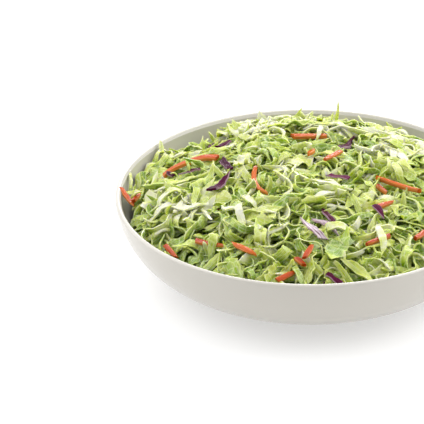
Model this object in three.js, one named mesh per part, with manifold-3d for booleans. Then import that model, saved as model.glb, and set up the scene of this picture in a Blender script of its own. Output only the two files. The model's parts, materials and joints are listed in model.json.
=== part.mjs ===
// Coleslaw in a low white serving bowl.
// Two nodes: "bowl", a turned porcelain bowl on a foot ring, and "coleslaw", a heap of shredded
// green cabbage, carrot sticks and red cabbage. The heap is a mound that fills the bowl, with
// the shreds that show fused onto it. Millimetres, +Z up, origin at the middle of the foot's underside.
import * as THREE from "three";
import { mergeVertices } from "three/addons/utils/BufferGeometryUtils.js";
import Module from "manifold-3d";

const wasm = await Module();
wasm.setup();

// ---------- driving dimensions ----------

const rimRadius = 120; // outside of the lip
const bowlHeight = 52; // table to top of the lip
const wall = 3.4; // thickness of the side
const floorThickness = 4.2; // thickness of the bottom
const bellyDrop = 19.5; // how far the side goes down before it starts to turn in
const bellyTaper = 2.3; // how far it has come in by then
const underRadius = 60; // where the side has become the flat underside
const underReach = 42.7; // how wide the turn from side to underside is
const footHeight = 3.2;
const footRadius = 63; // outside of the foot ring
const footWidth = 5;
const bowlFacets = 48;
const sideSteps = 8; // straight stretches in the side's curve
const lipSteps = 4;

const gapToBowl = 0.7; // the heap stands this far off the wall, facets included
const heapEdgeHeight = 41.5; // the core where it meets the wall
const heapTopHeight = 63; // the core in the middle of the bowl
const heapFullness = 2.6; // 2 is a round dome; more is flatter on top and steeper at the wall
const heapFacets = 24;
const heapRings = 6;
const bumpHeight = 2; // relief of the core between the shreds
const bumpSpan = 14;

const goldenAngle = Math.PI * (3 - Math.sqrt(5));

// Stretches along the wall that stay empty above the heap: right, front, left and back.
const freeSpaces = [
  { low: [103, -28, 48.5], high: [111.8, 28, 56] },
  { low: [-28, -111.8, 48.5], high: [28, -103, 56] },
  { low: [-108, -40, 48.5], high: [-100.6, -22, 56] },
  { low: [25, 100, 48.5], high: [45, 106, 56] },
];
const freeMargin = 0.4;
const approachReach = 14; // round a free space the shreds keep below a slope that rises from its floor
const approachSlope = 0.6;

// ---------- seeded random numbers ----------

function randomFrom(seed) {
  let state = seed >>> 0;
  return () => {
    state = (state + 0x6d2b79f5) >>> 0;
    let t = Math.imul(state ^ (state >>> 15), 1 | state);
    t = (t + Math.imul(t ^ (t >>> 7), 61 | t)) ^ t;
    return ((t ^ (t >>> 14)) >>> 0) / 4294967296;
  };
}

const between = (random, low, high) => low + (high - low) * random();

// ---------- the bowl ----------

// The outside of the bowl's side, from the underside's edge up to the lip.
const sideCurve = new THREE.CubicBezierCurve(
  new THREE.Vector2(underRadius, footHeight),
  new THREE.Vector2(underRadius + underReach, footHeight),
  new THREE.Vector2(rimRadius - bellyTaper, bowlHeight - wall / 2 - bellyDrop),
  new THREE.Vector2(rimRadius, bowlHeight - wall / 2),
);

// The inside of the bowl: the outside curve moved in by the wall's thickness and a further gap.
function insideCurve(gap) {
  const points = [];
  for (let i = 0; i <= sideSteps; i++) {
    const t = i / sideSteps;
    const depth = THREE.MathUtils.lerp(floorThickness, wall, t) + gap;
    const along = sideCurve.getTangent(t);
    const point = sideCurve.getPoint(t);
    points.push(new THREE.Vector2(point.x - along.y * depth, point.y + along.x * depth));
  }
  return points;
}

const insidePoints = insideCurve(0);

// The bowl's inner radius at a height above the table.
function insideRadius(height) {
  const first = insidePoints[0];
  if (height <= first.y) return first.x;
  for (let i = 1; i < insidePoints.length; i++) {
    const low = insidePoints[i - 1];
    const high = insidePoints[i];
    if (height <= high.y) {
      return THREE.MathUtils.mapLinear(height, low.y, high.y, low.x, high.x);
    }
  }
  return insidePoints.at(-1).x;
}

function bowlGeometry() {
  const points = [
    new THREE.Vector2(0, footHeight),
    new THREE.Vector2(footRadius - footWidth, footHeight),
    new THREE.Vector2(footRadius - footWidth, 0),
    new THREE.Vector2(footRadius, 0),
    new THREE.Vector2(footRadius + footHeight / 2, footHeight),
  ];
  for (let i = 1; i <= sideSteps; i++) points.push(sideCurve.getPoint(i / sideSteps));
  const lipCentre = new THREE.Vector2(rimRadius - wall / 2, bowlHeight - wall / 2);
  for (let i = 1; i < lipSteps; i++) {
    const angle = (Math.PI * i) / lipSteps;
    points.push(
      new THREE.Vector2(
        lipCentre.x + (Math.cos(angle) * wall) / 2,
        lipCentre.y + (Math.sin(angle) * wall) / 2,
      ),
    );
  }
  points.push(...insideCurve(0).reverse());
  points.push(new THREE.Vector2(0, footHeight + floorThickness));
  return new THREE.LatheGeometry(points, bowlFacets).rotateX(Math.PI / 2);
}

// ---------- the heap's surface ----------

const heapRadius = insideRadius(heapEdgeHeight) - gapToBowl;

function heapHeight(x, y) {
  const share = Math.min(1, Math.hypot(x, y) / heapRadius);
  return heapEdgeHeight + (heapTopHeight - heapEdgeHeight) * (1 - share ** heapFullness);
}

// A low relief of crossing ridges, each about bumpSpan wide.
function bump(x, y) {
  const wave = Math.PI / bumpSpan;
  const slanted = Math.sin(wave * (x + 0.6 * y)) * Math.cos(wave * (0.9 * y - 0.4 * x));
  const fine = Math.sin(1.7 * wave * (y - 0.3 * x));
  return bumpHeight * (0.7 * slanted + 0.3 * fine);
}

function coreGeometry() {
  const side = insideCurve(gapToBowl).filter((point) => point.y < heapEdgeHeight - 1);
  const points = [new THREE.Vector2(0, side[0].y), ...side];
  for (let i = 0; i <= heapRings; i++) {
    const radius = heapRadius * Math.sqrt(1 - i / heapRings);
    points.push(new THREE.Vector2(radius, heapHeight(radius, 0)));
  }
  const geometry = new THREE.LatheGeometry(points, heapFacets).rotateX(Math.PI / 2);
  const place = geometry.getAttribute("position");
  for (let i = 0; i < place.count; i++) {
    const height = place.getZ(i);
    if (height > heapEdgeHeight + 0.5) place.setZ(i, height + bump(place.getX(i), place.getY(i)));
  }
  return geometry;
}

// ---------- shreds ----------

// A strip is a thin box bent along a path. The path gives, for a share from 0 to 1 of the length,
// the middle of the strip, and roll turns its flat face about the path. Cup lifts its long edges, and
// taper narrows its ends.
function stripGeometry(strip) {
  const { path, length, width, thickness, steps, acrossSteps = 1, roll, cup = 0, taper = 0 } = strip;
  const geometry = new THREE.BoxGeometry(length, width, thickness, steps, acrossSteps, 1);
  const place = geometry.getAttribute("position");
  const up = new THREE.Vector3(0, 0, 1);
  const step = 0.02;
  for (let i = 0; i < place.count; i++) {
    const share = place.getX(i) / length + 0.5;
    const behind = path(Math.max(0, share - step));
    const along = path(Math.min(1, share + step)).sub(behind).normalize();
    const side = new THREE.Vector3().crossVectors(up, along).normalize().applyAxisAngle(along, roll(share));
    const face = new THREE.Vector3().crossVectors(along, side);
    const across = place.getY(i) * (1 - taper * (2 * share - 1) ** 2);
    const lift = place.getZ(i) + cup * ((2 * across) / width) ** 2;
    const point = path(share).addScaledVector(side, across).addScaledVector(face, lift);
    place.setXYZ(i, point.x, point.y, point.z);
  }
  return geometry;
}

// A path that lies on the heap: it curves in plan, arches between its ends and waves up and down.
function pathOnHeap({ x, y, heading, length, bend, rest, arch, lean = 0, wave = 0, phase = 0 }) {
  const turned = (share) => {
    const along = (share - 0.5) * length;
    const turn = bend * (share - 0.5);
    const reach = Math.abs(turn) < 1e-3 ? along : (along * Math.sin(turn)) / turn;
    return [reach, (along * turn) / 2];
  };
  return (share) => {
    const [forward, sideways] = turned(share);
    const px = x + Math.cos(heading) * forward - Math.sin(heading) * sideways;
    const py = y + Math.sin(heading) * forward + Math.cos(heading) * sideways;
    const height =
      heapHeight(px, py) +
      rest +
      arch * (1 - (2 * share - 1) ** 2) +
      lean * (2 * share - 1) +
      wave * Math.sin(2 * Math.PI * 1.5 * share + phase);
    return new THREE.Vector3(px, py, height);
  };
}

// ---------- solids ----------

function solidOf(geometry) {
  const bare = geometry.clone();
  bare.deleteAttribute("normal");
  bare.deleteAttribute("uv");
  const merged = mergeVertices(bare, 1e-3);
  return new wasm.Manifold(
    new wasm.Mesh({
      numProp: 3,
      vertProperties: new Float32Array(merged.getAttribute("position").array),
      triVerts: new Uint32Array(merged.index.array),
    }),
  );
}

function geometryOf(solid) {
  const mesh = solid.getMesh();
  const place = new Float32Array(mesh.numVert * 3);
  for (let i = 0; i < mesh.numVert; i++) {
    place.set(mesh.vertProperties.subarray(i * mesh.numProp, i * mesh.numProp + 3), i * 3);
  }
  return new THREE.BufferGeometry()
    .setAttribute("position", new THREE.BufferAttribute(place, 3))
    .setIndex(new THREE.BufferAttribute(new Uint32Array(mesh.triVerts), 1));
}

// True where a strip keeps off the bowl, and below the free spaces and the slopes round them.
function hasRoom(geometry) {
  const place = geometry.getAttribute("position");
  for (let i = 0; i < place.count; i++) {
    const [x, y, z] = [place.getX(i), place.getY(i), place.getZ(i)];
    if (Math.hypot(x, y) > insideRadius(z) - gapToBowl) return false;
    const isInTheWay = ({ low, high }) => {
      const aside = Math.max(low[0] - x, x - high[0], low[1] - y, y - high[1]) - freeMargin;
      return aside < approachReach && z > low[2] - freeMargin + approachSlope * Math.max(0, aside);
    };
    if (freeSpaces.some(isInTheWay)) return false;
  }
  return true;
}

// Even places over the heap, from the middle out, in a sunflower's spiral.
function spiralPlace(index, count, reach) {
  const radius = reach * Math.sqrt((index + 0.5) / count);
  const angle = index * goldenAngle;
  return [radius * Math.cos(angle), radius * Math.sin(angle)];
}

// Makes count strips, one for each place of the spiral. A strip that has no room is drawn
// again a few times, and then skipped.
function scatter({ count, seed, reach, draw }) {
  const random = randomFrom(seed);
  const made = [];
  const tries = 12;
  for (let i = 0; i < count; i++) {
    const [x, y] = spiralPlace(i, count, reach);
    for (let attempt = 0; attempt < tries; attempt++) {
      const geometry = stripGeometry(draw(random, x, y));
      if (hasRoom(geometry)) {
        made.push(solidOf(geometry));
        break;
      }
    }
  }
  return made;
}

function cabbageShred(random, x, y) {
  const length = between(random, 24, 40);
  const start = between(random, -0.9, 0.9);
  const twist = between(random, -1.1, 1.1);
  return {
    path: pathOnHeap({
      x,
      y,
      length,
      heading: between(random, 0, Math.PI),
      bend: between(random, -2.2, 2.2),
      rest: between(random, 1.2, 2.8),
      arch: between(random, -1.5, 5),
      lean: between(random, 1, 5) * (random() < 0.5 ? -1 : 1),
      wave: between(random, 0, 1.2),
      phase: between(random, 0, 2 * Math.PI),
    }),
    length,
    width: between(random, 4, 6),
    thickness: between(random, 1.1, 1.6),
    steps: 4,
    roll: (share) => start + twist * share,
    taper: 0.3,
  };
}

function leafPiece(random, x, y) {
  const length = between(random, 20, 30);
  const tilt = between(random, -0.5, 0.5);
  return {
    path: pathOnHeap({
      x,
      y,
      length,
      heading: between(random, 0, Math.PI),
      bend: between(random, -0.8, 0.8),
      rest: between(random, 1.2, 2.6),
      arch: between(random, 0, 1.5),
      lean: between(random, -2, 2),
      wave: 1.4,
      phase: between(random, 0, 2 * Math.PI),
    }),
    length,
    width: between(random, 9, 14),
    thickness: 1.3,
    steps: 4,
    acrossSteps: 2,
    roll: () => tilt,
    cup: between(random, -2.5, 2.5),
    taper: 0.45,
  };
}

// Carrot sticks that lie on top: where the middle is, the length and the heading in degrees. Some
// also give the bend in radians, the lean that lifts the far end, how high they rest on the core and
// how far their middle arches above that.
const carrots = [
  { x: -74, y: 31, length: 38, heading: 8, bend: -0.4 },
  { x: -108, y: 6, length: 22, heading: -72, lean: -3 },
  { x: -104, y: -2, length: 12, heading: 60, lean: 2 },
  { x: -30, y: -9, length: 34, heading: -80, bend: 0.6, lean: -3 },
  { x: 4, y: 49, length: 28, heading: 2, bend: 0.1 },
  { x: 15, y: 18, length: 18, heading: 50 },
  { x: 54, y: -14, length: 30, heading: -22, bend: -0.2 },
  { x: 44, y: -38, length: 18, heading: 35 },
  { x: -62, y: -72, length: 20, heading: -28 },
  { x: -41, y: -80, length: 20, heading: -38 },
  { x: -82, y: -64, length: 16, heading: -62 },
  { x: -16, y: -96, length: 15, heading: 35, rest: 0.4, arch: 0.2 },
  { x: -3, y: -90, length: 14, heading: 62, rest: 1, arch: 0.4 },
  { x: 39, y: -78, length: 20, heading: 36 },
  { x: 67, y: -63, length: 20, heading: 50 },
  { x: 86, y: 8, length: 28, heading: 70, bend: 0.3 },
  { x: 70, y: 48, length: 24, heading: -30, bend: 0.2 },
  { x: 84, y: -36, length: 22, heading: -65 },
];

// Red cabbage strips that lie on top, given in the same way.
const redCabbage = [
  { x: -56, y: 78, length: 14, heading: -10, bend: -0.5 },
  { x: -52, y: 47, length: 11, heading: 45 },
  { x: -51, y: 13, length: 17, heading: -72 },
  { x: -73, y: 13, length: 14, heading: -4, bend: -0.5 },
  { x: -55, y: -14, length: 19, heading: 55 },
  { x: 24, y: 49, length: 22, heading: 56 },
  { x: 18, y: -14, length: 14, heading: -16 },
  { x: 9, y: -60, length: 22, heading: -52, bend: 0.2 },
  { x: 0, y: -71, length: 22, heading: -57 },
  { x: 12, y: -95, length: 14, heading: -40, rest: 0.6, arch: 0.3 },
  { x: 41, y: -51, length: 10, heading: -57 },
  { x: 86, y: -14, length: 18, heading: 75, rest: 1.4, arch: 0.6 },
  { x: 62, y: 70, length: 16, heading: -40 },
];

function placedStrips(places, seed, size) {
  const level = { bend: 0, rest: 2.2, arch: 1.2 };
  const random = randomFrom(seed);
  const made = [];
  for (const { heading, ...place } of places) {
    const tilt = between(random, -0.6, 0.6);
    const geometry = stripGeometry({
      path: pathOnHeap({ ...level, ...place, heading: THREE.MathUtils.degToRad(heading) }),
      length: place.length,
      steps: 3,
      roll: () => tilt,
      ...size,
    });
    if (hasRoom(geometry)) made.push(solidOf(geometry));
  }
  return made;
}

// The heap in one piece: the union's largest body, without loose scraps or sealed hollows.
function fused(solids) {
  const bodies = wasm.Manifold.union(solids).decompose();
  return bodies.reduce((largest, body) => (body.volume() > largest.volume() ? body : largest));
}

function coleslawGeometry() {
  return geometryOf(
    fused([
      solidOf(coreGeometry()),
      ...scatter({ count: 92, seed: 11, reach: 106, draw: cabbageShred }),
      ...scatter({ count: 12, seed: 5, reach: 98, draw: leafPiece }),
      ...placedStrips(carrots, 3, { width: 3.4, thickness: 2.8 }),
      ...placedStrips(redCabbage, 4, { width: 4, thickness: 1.8 }),
    ]),
  );
}

// ---------- the part ----------

const porcelain = new THREE.MeshStandardMaterial({ color: 0xf1efec, roughness: 0.22, metalness: 0 });
const cabbage = new THREE.MeshStandardMaterial({ color: 0xb4cf6e, roughness: 0.5, metalness: 0 });

const bowl = new THREE.Mesh(bowlGeometry(), porcelain);
bowl.name = "bowl";

const coleslaw = new THREE.Mesh(coleslawGeometry(), cabbage);
coleslaw.name = "coleslaw";

const part = new THREE.Group();
part.add(bowl, coleslaw);

export default part;
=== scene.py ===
import json
import math

import bpy
import numpy as np
from mathutils import Matrix, Vector


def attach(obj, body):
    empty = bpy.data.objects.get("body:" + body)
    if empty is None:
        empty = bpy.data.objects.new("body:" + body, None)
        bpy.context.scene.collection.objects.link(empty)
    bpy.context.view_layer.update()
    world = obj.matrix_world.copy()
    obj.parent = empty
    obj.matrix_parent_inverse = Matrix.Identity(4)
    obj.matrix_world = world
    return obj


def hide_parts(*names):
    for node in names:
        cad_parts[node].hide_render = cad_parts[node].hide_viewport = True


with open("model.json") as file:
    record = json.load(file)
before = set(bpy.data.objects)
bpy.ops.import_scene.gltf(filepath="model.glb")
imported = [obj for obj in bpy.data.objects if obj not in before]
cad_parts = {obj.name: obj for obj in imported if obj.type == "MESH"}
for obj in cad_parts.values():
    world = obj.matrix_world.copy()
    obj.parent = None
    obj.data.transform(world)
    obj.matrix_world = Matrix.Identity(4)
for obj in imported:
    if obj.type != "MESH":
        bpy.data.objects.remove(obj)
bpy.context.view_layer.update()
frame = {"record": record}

# Coleslaw in a low white serving bowl. Lengths are in millimetres until a mesh is made.

metre = 1000.0
random = np.random.default_rng(12)


def between(pair, count):
    return random.uniform(pair[0], pair[1], count)


def unit(vectors):
    return vectors / np.maximum(np.linalg.norm(vectors, axis=-1, keepdims=True), 1e-9)


def turnsOf(vectors):
    # one rotation matrix for each axis-times-angle vector
    angle = np.linalg.norm(vectors, axis=-1)[..., None, None]
    x, y, z = np.moveaxis(vectors / np.maximum(angle[..., 0], 1e-12), -1, 0)
    zero = np.zeros_like(x)
    rows = [[zero, -z, y], [z, zero, -x], [-y, x, zero]]
    cross = np.stack([np.stack(row, -1) for row in rows], -2)
    return np.eye(3) + np.sin(angle) * cross + (1 - np.cos(angle)) * cross @ cross


def ringFaces(rings, count):
    # the quads between neighbouring rings of points, ring by ring
    here = np.arange(count)
    there = (here + 1) % count
    low = count * np.arange(rings - 1)[:, None]
    high = low + count
    return np.stack([low + here, low + there, high + there, high + here], -1).reshape(-1, 4)


def toScene(name, data):
    piece = bpy.data.objects.new(name, data)
    bpy.context.scene.collection.objects.link(piece)
    return piece


def meshPiece(name, points, faces, material, nodes):
    # points in millimetres, faces as rows of four corners
    mesh = bpy.data.meshes.new(name)
    mesh.vertices.add(len(points))
    mesh.vertices.foreach_set("co", (np.asarray(points) / metre).astype(np.float32).ravel())
    mesh.loops.add(faces.size)
    mesh.loops.foreach_set("vertex_index", faces.astype(np.int32).ravel())
    mesh.polygons.add(len(faces))
    mesh.polygons.foreach_set("loop_start", np.arange(0, faces.size, 4, dtype=np.int32))
    mesh.update(calc_edges=True)
    mesh.shade_smooth()
    mesh.materials.append(material)
    piece = toScene(name, mesh)
    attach(piece, "root")
    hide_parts(*nodes)
    return piece


bowl = {
    "rimRadius": 120.0,
    "height": 52.0,
    "wall": 3.4,
    "floorThickness": 4.2,
    "bellyDrop": 19.5,  # how far the side goes down before it turns in
    "bellyTaper": 2.3,
    "underRadius": 60.0,
    "underReach": 42.7,
    "footHeight": 3.2,
    "footRadius": 63.0,
    "footWidth": 5.0,
    "footRound": 0.9,  # soft edges of the foot ring
    "footFillet": 1.2,  # inside the ring, where it meets the underside
    "footFlare": (0.4, 0.5),
    "underFlat": 6.0,  # from the fillet to the last ring of the underside
    "wellRadius": 30.0,
    "segments": 224,
    "sideSteps": 44,
    "lipSteps": 14,
}


def sideCurve(share, depth=0.0):
    # a point of the side's outline, moved in by depth
    size = bowl
    corners = np.array([
        [size["underRadius"], size["footHeight"]],
        [size["underRadius"] + size["underReach"], size["footHeight"]],
        [size["rimRadius"] - size["bellyTaper"], size["height"] - size["wall"] / 2 - size["bellyDrop"]],
        [size["rimRadius"], size["height"] - size["wall"] / 2],
    ])
    t, u = share, 1 - share
    point = u**3 * corners[0] + 3 * u * u * t * corners[1] + 3 * u * t * t * corners[2] + t**3 * corners[3]
    legs = np.diff(corners, axis=0)
    along = u * u * legs[0] + 2 * u * t * legs[1] + t * t * legs[2]
    along /= np.hypot(*along)
    return point + depth * np.array([-along[1], along[0]])


def roundedCorner(before, corner, after, radius, steps=4):
    # a quarter turn between two legs that meet at right angles
    before, corner, after = (np.array(p, float) for p in (before, corner, after))
    back = radius * (before - corner) / np.hypot(*(before - corner))
    ahead = radius * (after - corner) / np.hypot(*(after - corner))
    angles = np.linspace(0, math.pi / 2, steps + 1)
    return [corner + back * (1 - math.sin(a)) + ahead * (1 - math.cos(a)) for a in angles]


def insideProfile():
    shares = np.linspace(0, 1, bowl["sideSteps"] + 1)
    depths = bowl["floorThickness"] + (bowl["wall"] - bowl["floorThickness"]) * shares
    return np.array([sideCurve(t, depth) for t, depth in zip(shares, depths)])


def bowlProfile():
    size = bowl
    inner = size["footRadius"] - size["footWidth"]
    foot, outer = size["footHeight"], size["footRadius"]
    profile = [(0, foot), (inner - size["underFlat"], foot)]
    profile += roundedCorner((inner, 0), (inner, foot), (0, foot), size["footFillet"])[::-1]
    profile += roundedCorner((inner, foot), (inner, 0), (outer, 0), size["footRound"])
    profile += roundedCorner((inner, 0), (outer, 0), (outer, foot), size["footRound"])
    profile += [(outer + size["footFlare"][0], foot - size["footFlare"][1]), (outer + foot / 2, foot)]
    profile += [sideCurve(t) for t in np.linspace(0, 1, size["sideSteps"] + 1)[2:]]
    middle = np.array([size["rimRadius"] - size["wall"] / 2, size["height"] - size["wall"] / 2])
    for angle in np.linspace(0, math.pi, size["lipSteps"] + 1)[1:-1]:
        profile.append(middle + size["wall"] / 2 * np.array([math.cos(angle), math.sin(angle)]))
    profile += list(insideProfile()[::-1])
    profile += [(radius, foot + size["floorThickness"]) for radius in (size["wellRadius"], 0)]
    return np.array([np.array(p, float) for p in profile])


def makeBowl(material):
    profile = bowlProfile()
    rings = profile[1:-1]
    count = bowl["segments"]
    angles = np.linspace(0, 2 * math.pi, count, endpoint=False)
    ringPoints = np.stack([
        rings[:, :1] * np.cos(angles),
        rings[:, :1] * np.sin(angles),
        np.repeat(rings[:, 1:], count, axis=1),
    ], -1).reshape(-1, 3)
    points = [*map(tuple, ringPoints / metre), (0, 0, profile[0, 1] / metre), (0, 0, profile[-1, 1] / metre)]
    under, inside = len(ringPoints), len(ringPoints) + 1
    last = (len(rings) - 1) * count
    spans = [(a, (a + 1) % count) for a in range(count)]
    faces = ringFaces(len(rings), count).tolist()
    faces += [(under, b, a) for a, b in spans]
    faces += [(inside, last + a, last + b) for a, b in spans]
    mesh = bpy.data.meshes.new("serving_bowl")
    mesh.from_pydata(points, [], faces)
    mesh.shade_smooth()
    mesh.materials.append(material)
    piece = toScene("serving_bowl", mesh)
    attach(piece, "root")
    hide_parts("bowl")
    return piece


heap = {
    "radius": 113.0,
    "edgeHeight": 46.0,  # mean top of the salad where it meets the wall
    "topHeight": 68.0,
    "fullness": 2.4,
    "depth": 10.5,  # how deep the loose strips lie over the core
    "relief": 2.0,
    "grain": 9.0,
    "hills": ((0.3, 1.0, 0.4), (1.7, 0.8, 0.3), (2.6, 1.35, 0.3)),  # heading, size and weight of each wave
    "hillStretch": 1.3,
    "rings": 90,
    "ringCrowding": 0.8,
    "spokes": 260,
    "coreInset": 4.0,
    "wallGap": 0.6,
    "skirtTaper": 0.9,  # the core's hidden lower edge
    "skirtDrop": 14.0,
}
openings = frame["record"]["physics"]["openings"]
freeSpaces = metre * np.array([space["box_m"] for space in openings])  # stay empty: low corner, high corner
wallLine = insideProfile()


def heapTop(x, y):
    share = np.minimum(1, np.hypot(x, y) / heap["radius"])
    rise = heap["topHeight"] - heap["edgeHeight"]
    return heap["edgeHeight"] + rise * (1 - share ** heap["fullness"])


def lumps(x, y, grain):
    # smooth hills and hollows between -1 and 1
    total = np.zeros_like(x)
    for heading, size, weight in heap["hills"]:
        along = x * math.cos(heading) + y * math.sin(heading)
        across = y * math.cos(heading) - x * math.sin(heading)
        length = grain * size
        hills = np.sin(math.pi * along / length) * np.cos(math.pi * across / (length * heap["hillStretch"]))
        total += weight * hills
    return total


def coreHeight(x, y):
    return heapTop(x, y) - heap["depth"] + heap["relief"] * lumps(x, y, heap["grain"])


def wallRadius(height):
    return np.interp(height, wallLine[:, 1], wallLine[:, 0])


def makeCore(material):
    shares = np.linspace(0, 1, heap["rings"] + 1)[1:] ** heap["ringCrowding"]
    angles = np.linspace(0, 2 * math.pi, heap["spokes"], endpoint=False)
    radii = shares[:, None] * (heap["radius"] - heap["coreInset"])
    x, y = radii * np.cos(angles), radii * np.sin(angles)
    z = coreHeight(x, y)
    rim = np.minimum(1, (wallRadius(z) - heap["wallGap"]) / np.maximum(radii, 1e-6))
    top = np.stack([x * rim, y * rim, z], -1)
    taper = heap["skirtTaper"]
    skirt = top[-1] * np.array([taper, taper, 1]) - np.array([0, 0, heap["skirtDrop"]])
    points = np.concatenate([top, skirt[None]]).reshape(-1, 3)
    faces = ringFaces(len(shares) + 1, heap["spokes"])[:, (0, 3, 2, 1)]
    return meshPiece("salad_core", points, faces, material, ["coleslaw"])


def bentStrips(length, bends, steps):
    # the middle line and the axes (along, side, face) at each station, from turns for each millimetre
    count = len(length)
    step = length / steps
    axes = np.empty((count, steps + 1, 3, 3))
    points = np.zeros((count, steps + 1, 3))
    axes[:, 0] = np.eye(3)
    for i in range(steps):
        swing = np.sin(2 * math.pi * (i + 0.5) * step / bends["waveLength"] + bends["phase"])
        turn = np.stack([bends["twist"], bends["curl"] + bends["wave"] * swing, bends["sway"]], -1)
        axes[:, i + 1] = axes[:, i] @ turnsOf(turn * step[:, None])
        along = (axes[:, i, :, 0] + axes[:, i + 1, :, 0]) / 2
        points[:, i + 1] = points[:, i] + along * step[:, None]
    # each strip is turned to run along x with its face up
    chord = unit(points[:, -1] - points[:, 0])
    side = unit(np.cross(axes[:, :, :, 2].mean(axis=1), chord))
    level = np.stack([chord, side, np.cross(chord, side)], 1)
    points = np.einsum("nij,nsj->nsi", level, points - points.mean(axis=1, keepdims=True))
    return points, np.einsum("nij,nsjk->nsik", level, axes)


def givenRows(kind):
    # strips given one by one: x, y, z (none where it finds its own height), length, heading, rise, turn, tone
    laid = np.array(kind.get("laid", ()), float).reshape(-1, 6)
    propped = np.array(kind.get("propped", ()), float).reshape(-1, 8)
    level = np.zeros(len(laid))
    laid = [laid[:, 0], laid[:, 1], level + np.nan, laid[:, 2], laid[:, 3], level, laid[:, 4], laid[:, 5]]
    return np.concatenate([np.stack(laid, -1), propped])


skinning = {
    "raggedBeat": 1.7,  # how the cut edges waver beside the ruffle
    "ruffleReach": 1.5,
    "rowWidth": 0.7,  # the outer rows of balls, as a share of half the width
    "fibreStep": 90,  # sets each strip's fibres apart from the others'
}


def drawStrips(kind):
    # draws the measures of each strip of a kind, the listed ones first, and bends and skins them
    given = givenRows(kind)
    count = kind["count"] + len(given)
    draw = {name: between(kind["slant" if name == "slantBack" else name], count) for name in
            ("length", "width", "thickness", "curl", "wave", "waveLength", "twist", "sway", "ruffle",
             "ruffleLength", "cup", "taper", "taperBack", "slant", "slantBack", "tone", "fade")}
    for name in ("phase", "ripplePhase", "edgeShift"):
        draw[name] = between((0, 2 * math.pi), count)
    draw["seed"] = between((0, 1), count)
    draw["length"][:len(given)] = given[:, 3]
    draw["sway"][:len(given)] = given[:, 6] / given[:, 3]
    draw["tone"][:len(given)] = given[:, 7]
    for number, factor in kind.get("girths", ()):
        draw["width"][number] *= factor
        draw["thickness"][number] *= factor
    points, axes = bentStrips(draw["length"], draw, kind["steps"])
    column = {name: value[:, None, None] for name, value in draw.items()}
    share = np.linspace(0, 1, kind["steps"] + 1)[None, :, None]
    narrowing = 1 - column["taper"] * share**4 - column["taperBack"] * (1 - share) ** 4
    u = np.array(kind["across"])
    v = 1 - kind["edgeDrop"] * np.abs(u) ** 4
    u, v = np.concatenate([u, u[::-1]]), np.concatenate([v, -v[::-1]])
    ripple = 2 * math.pi * share * column["length"] / column["ruffleLength"] + column["ripplePhase"]
    edge = column["edgeShift"] * np.sign(u)
    waver = kind["ragged"] * np.sin(skinning["raggedBeat"] * ripple + 2 * edge)
    across = u * column["width"] / 2 * narrowing * (1 + waver)
    cut = u * column["width"] / 2 * (column["slant"] * share**6 + column["slantBack"] * (1 - share) ** 6)
    lift = v * column["thickness"] / 2 + column["cup"] * u**2
    lift = lift + column["ruffle"] * np.sin(ripple + edge) * np.abs(u) ** skinning["ruffleReach"]
    offsets = np.stack([cut, across, lift], -1)
    skin = points[:, :, None] + np.einsum("nsij,nskj->nski", axes, offsets)
    tone = column["tone"] + column["fade"] * (2 * share - 1) + 0 * u
    none = 0 * tone
    look = np.stack([np.clip(tone, 0, 1), np.abs(u) + none, none, none + 1], -1)
    fibres = np.stack([share * column["length"] + none, across + skinning["fibreStep"] * column["seed"]], -1)
    # the balls that feel for the neighbours lie along the strip, in one row or more
    perRow, rows = kind["balls"]
    stations = np.linspace(0, kind["steps"], perRow).round().astype(int)
    outermost = skinning["rowWidth"]
    rails = np.linspace(-outermost, outermost, rows) if rows > 1 else np.zeros(1)
    reach = rails * draw["width"][:, None, None] / 2 * narrowing[:, stations]
    sides = axes[..., 1][:, stations]
    balls = (points[:, stations, None] + sides[:, :, None] * reach[..., None]).reshape(count, -1, 3)
    middle = balls.mean(axis=1)
    return {
        "kind": kind,
        "skin": skin - middle[:, None, None],
        "look": look,
        "fibres": fibres,
        "balls": balls - middle[:, None],
        "length": draw["length"],
    }


leafShreds = {
    "name": "cabbage_shreds_green", "slot": "cabbage", "count": 440,
    "length": (20, 42), "width": (3.2, 7.6), "thickness": (0.7, 1.1),
    "curl": (-0.14, 0.14),  # turn about the strip's width for each millimetre of length
    "wave": (0.02, 0.18), "waveLength": (11, 24),
    "twist": (-0.08, 0.08), "sway": (-0.035, 0.035),
    "ruffle": (0.05, 0.9), "ruffleLength": (8, 18), "cup": (-1.0, 1.0),
    "taper": (0.1, 0.9), "taperBack": (0, 0.7), "slant": (-1.5, 1.5), "ragged": 0.1,
    "tone": (0.2, 0.95), "fade": (-0.5, 0.5),
    "steps": 24, "across": (-1, -0.45, 0.45, 1), "edgeDrop": 0.15, "balls": (9, 2), "ballRadius": 1.05,
    # laid one by one: middle x and y, length, heading in degrees, turn in plan from end to end, tone
    "laid": (
        (-60, -70, 26, 70, 0.5, 0.5), (-10, -96, 22, 110, -0.4, 0.7), (48, -25, 22, 60, 0.4, 0.5),
        (-105, 34, 26, 76, 0.4, 0.5), (-92, 61, 28, 52, 0.4, 0.6), (-72, 74, 24, 34, 0.3, 0.4),
        (47, 84, 26, -28, 0.3, 0.5), (62, 74, 26, -42, 0.4, 0.4), (73, 65, 24, -50, 0.3, 0.5),
    ),
    "girths": ((3, 0.6), (9, 0.45), (13, 0.45), (14, 0.6)),  # made thinner or thicker: number and factor
    "laidRank": 1.36,
    # propped one by one, with one end in the heap: x, y, z, length, heading, rise in degrees, turn, tone
    "propped": (
        (20, 92, 57, 24, 60, 62, 0.2, 0.55), (42, 84, 51, 15, 60, 40, 0.3, 0.35),
        (-6, 90, 56, 16, 40, 55, 0, 0.4), (-42, 80, 53, 18, 130, 36, 0.4, 0.5),
        (-111, 26, 48.5, 17, 94, 18, 0.3, 0.5), (-109, 9, 46, 20, 80, 10, 0, 0.6),
        (-91.5, 64, 50, 16, 104, 20, 0, 0.5), (54, 79, 53, 20, -15, 8, 0.3, 0.5),
    ),
}
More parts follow.
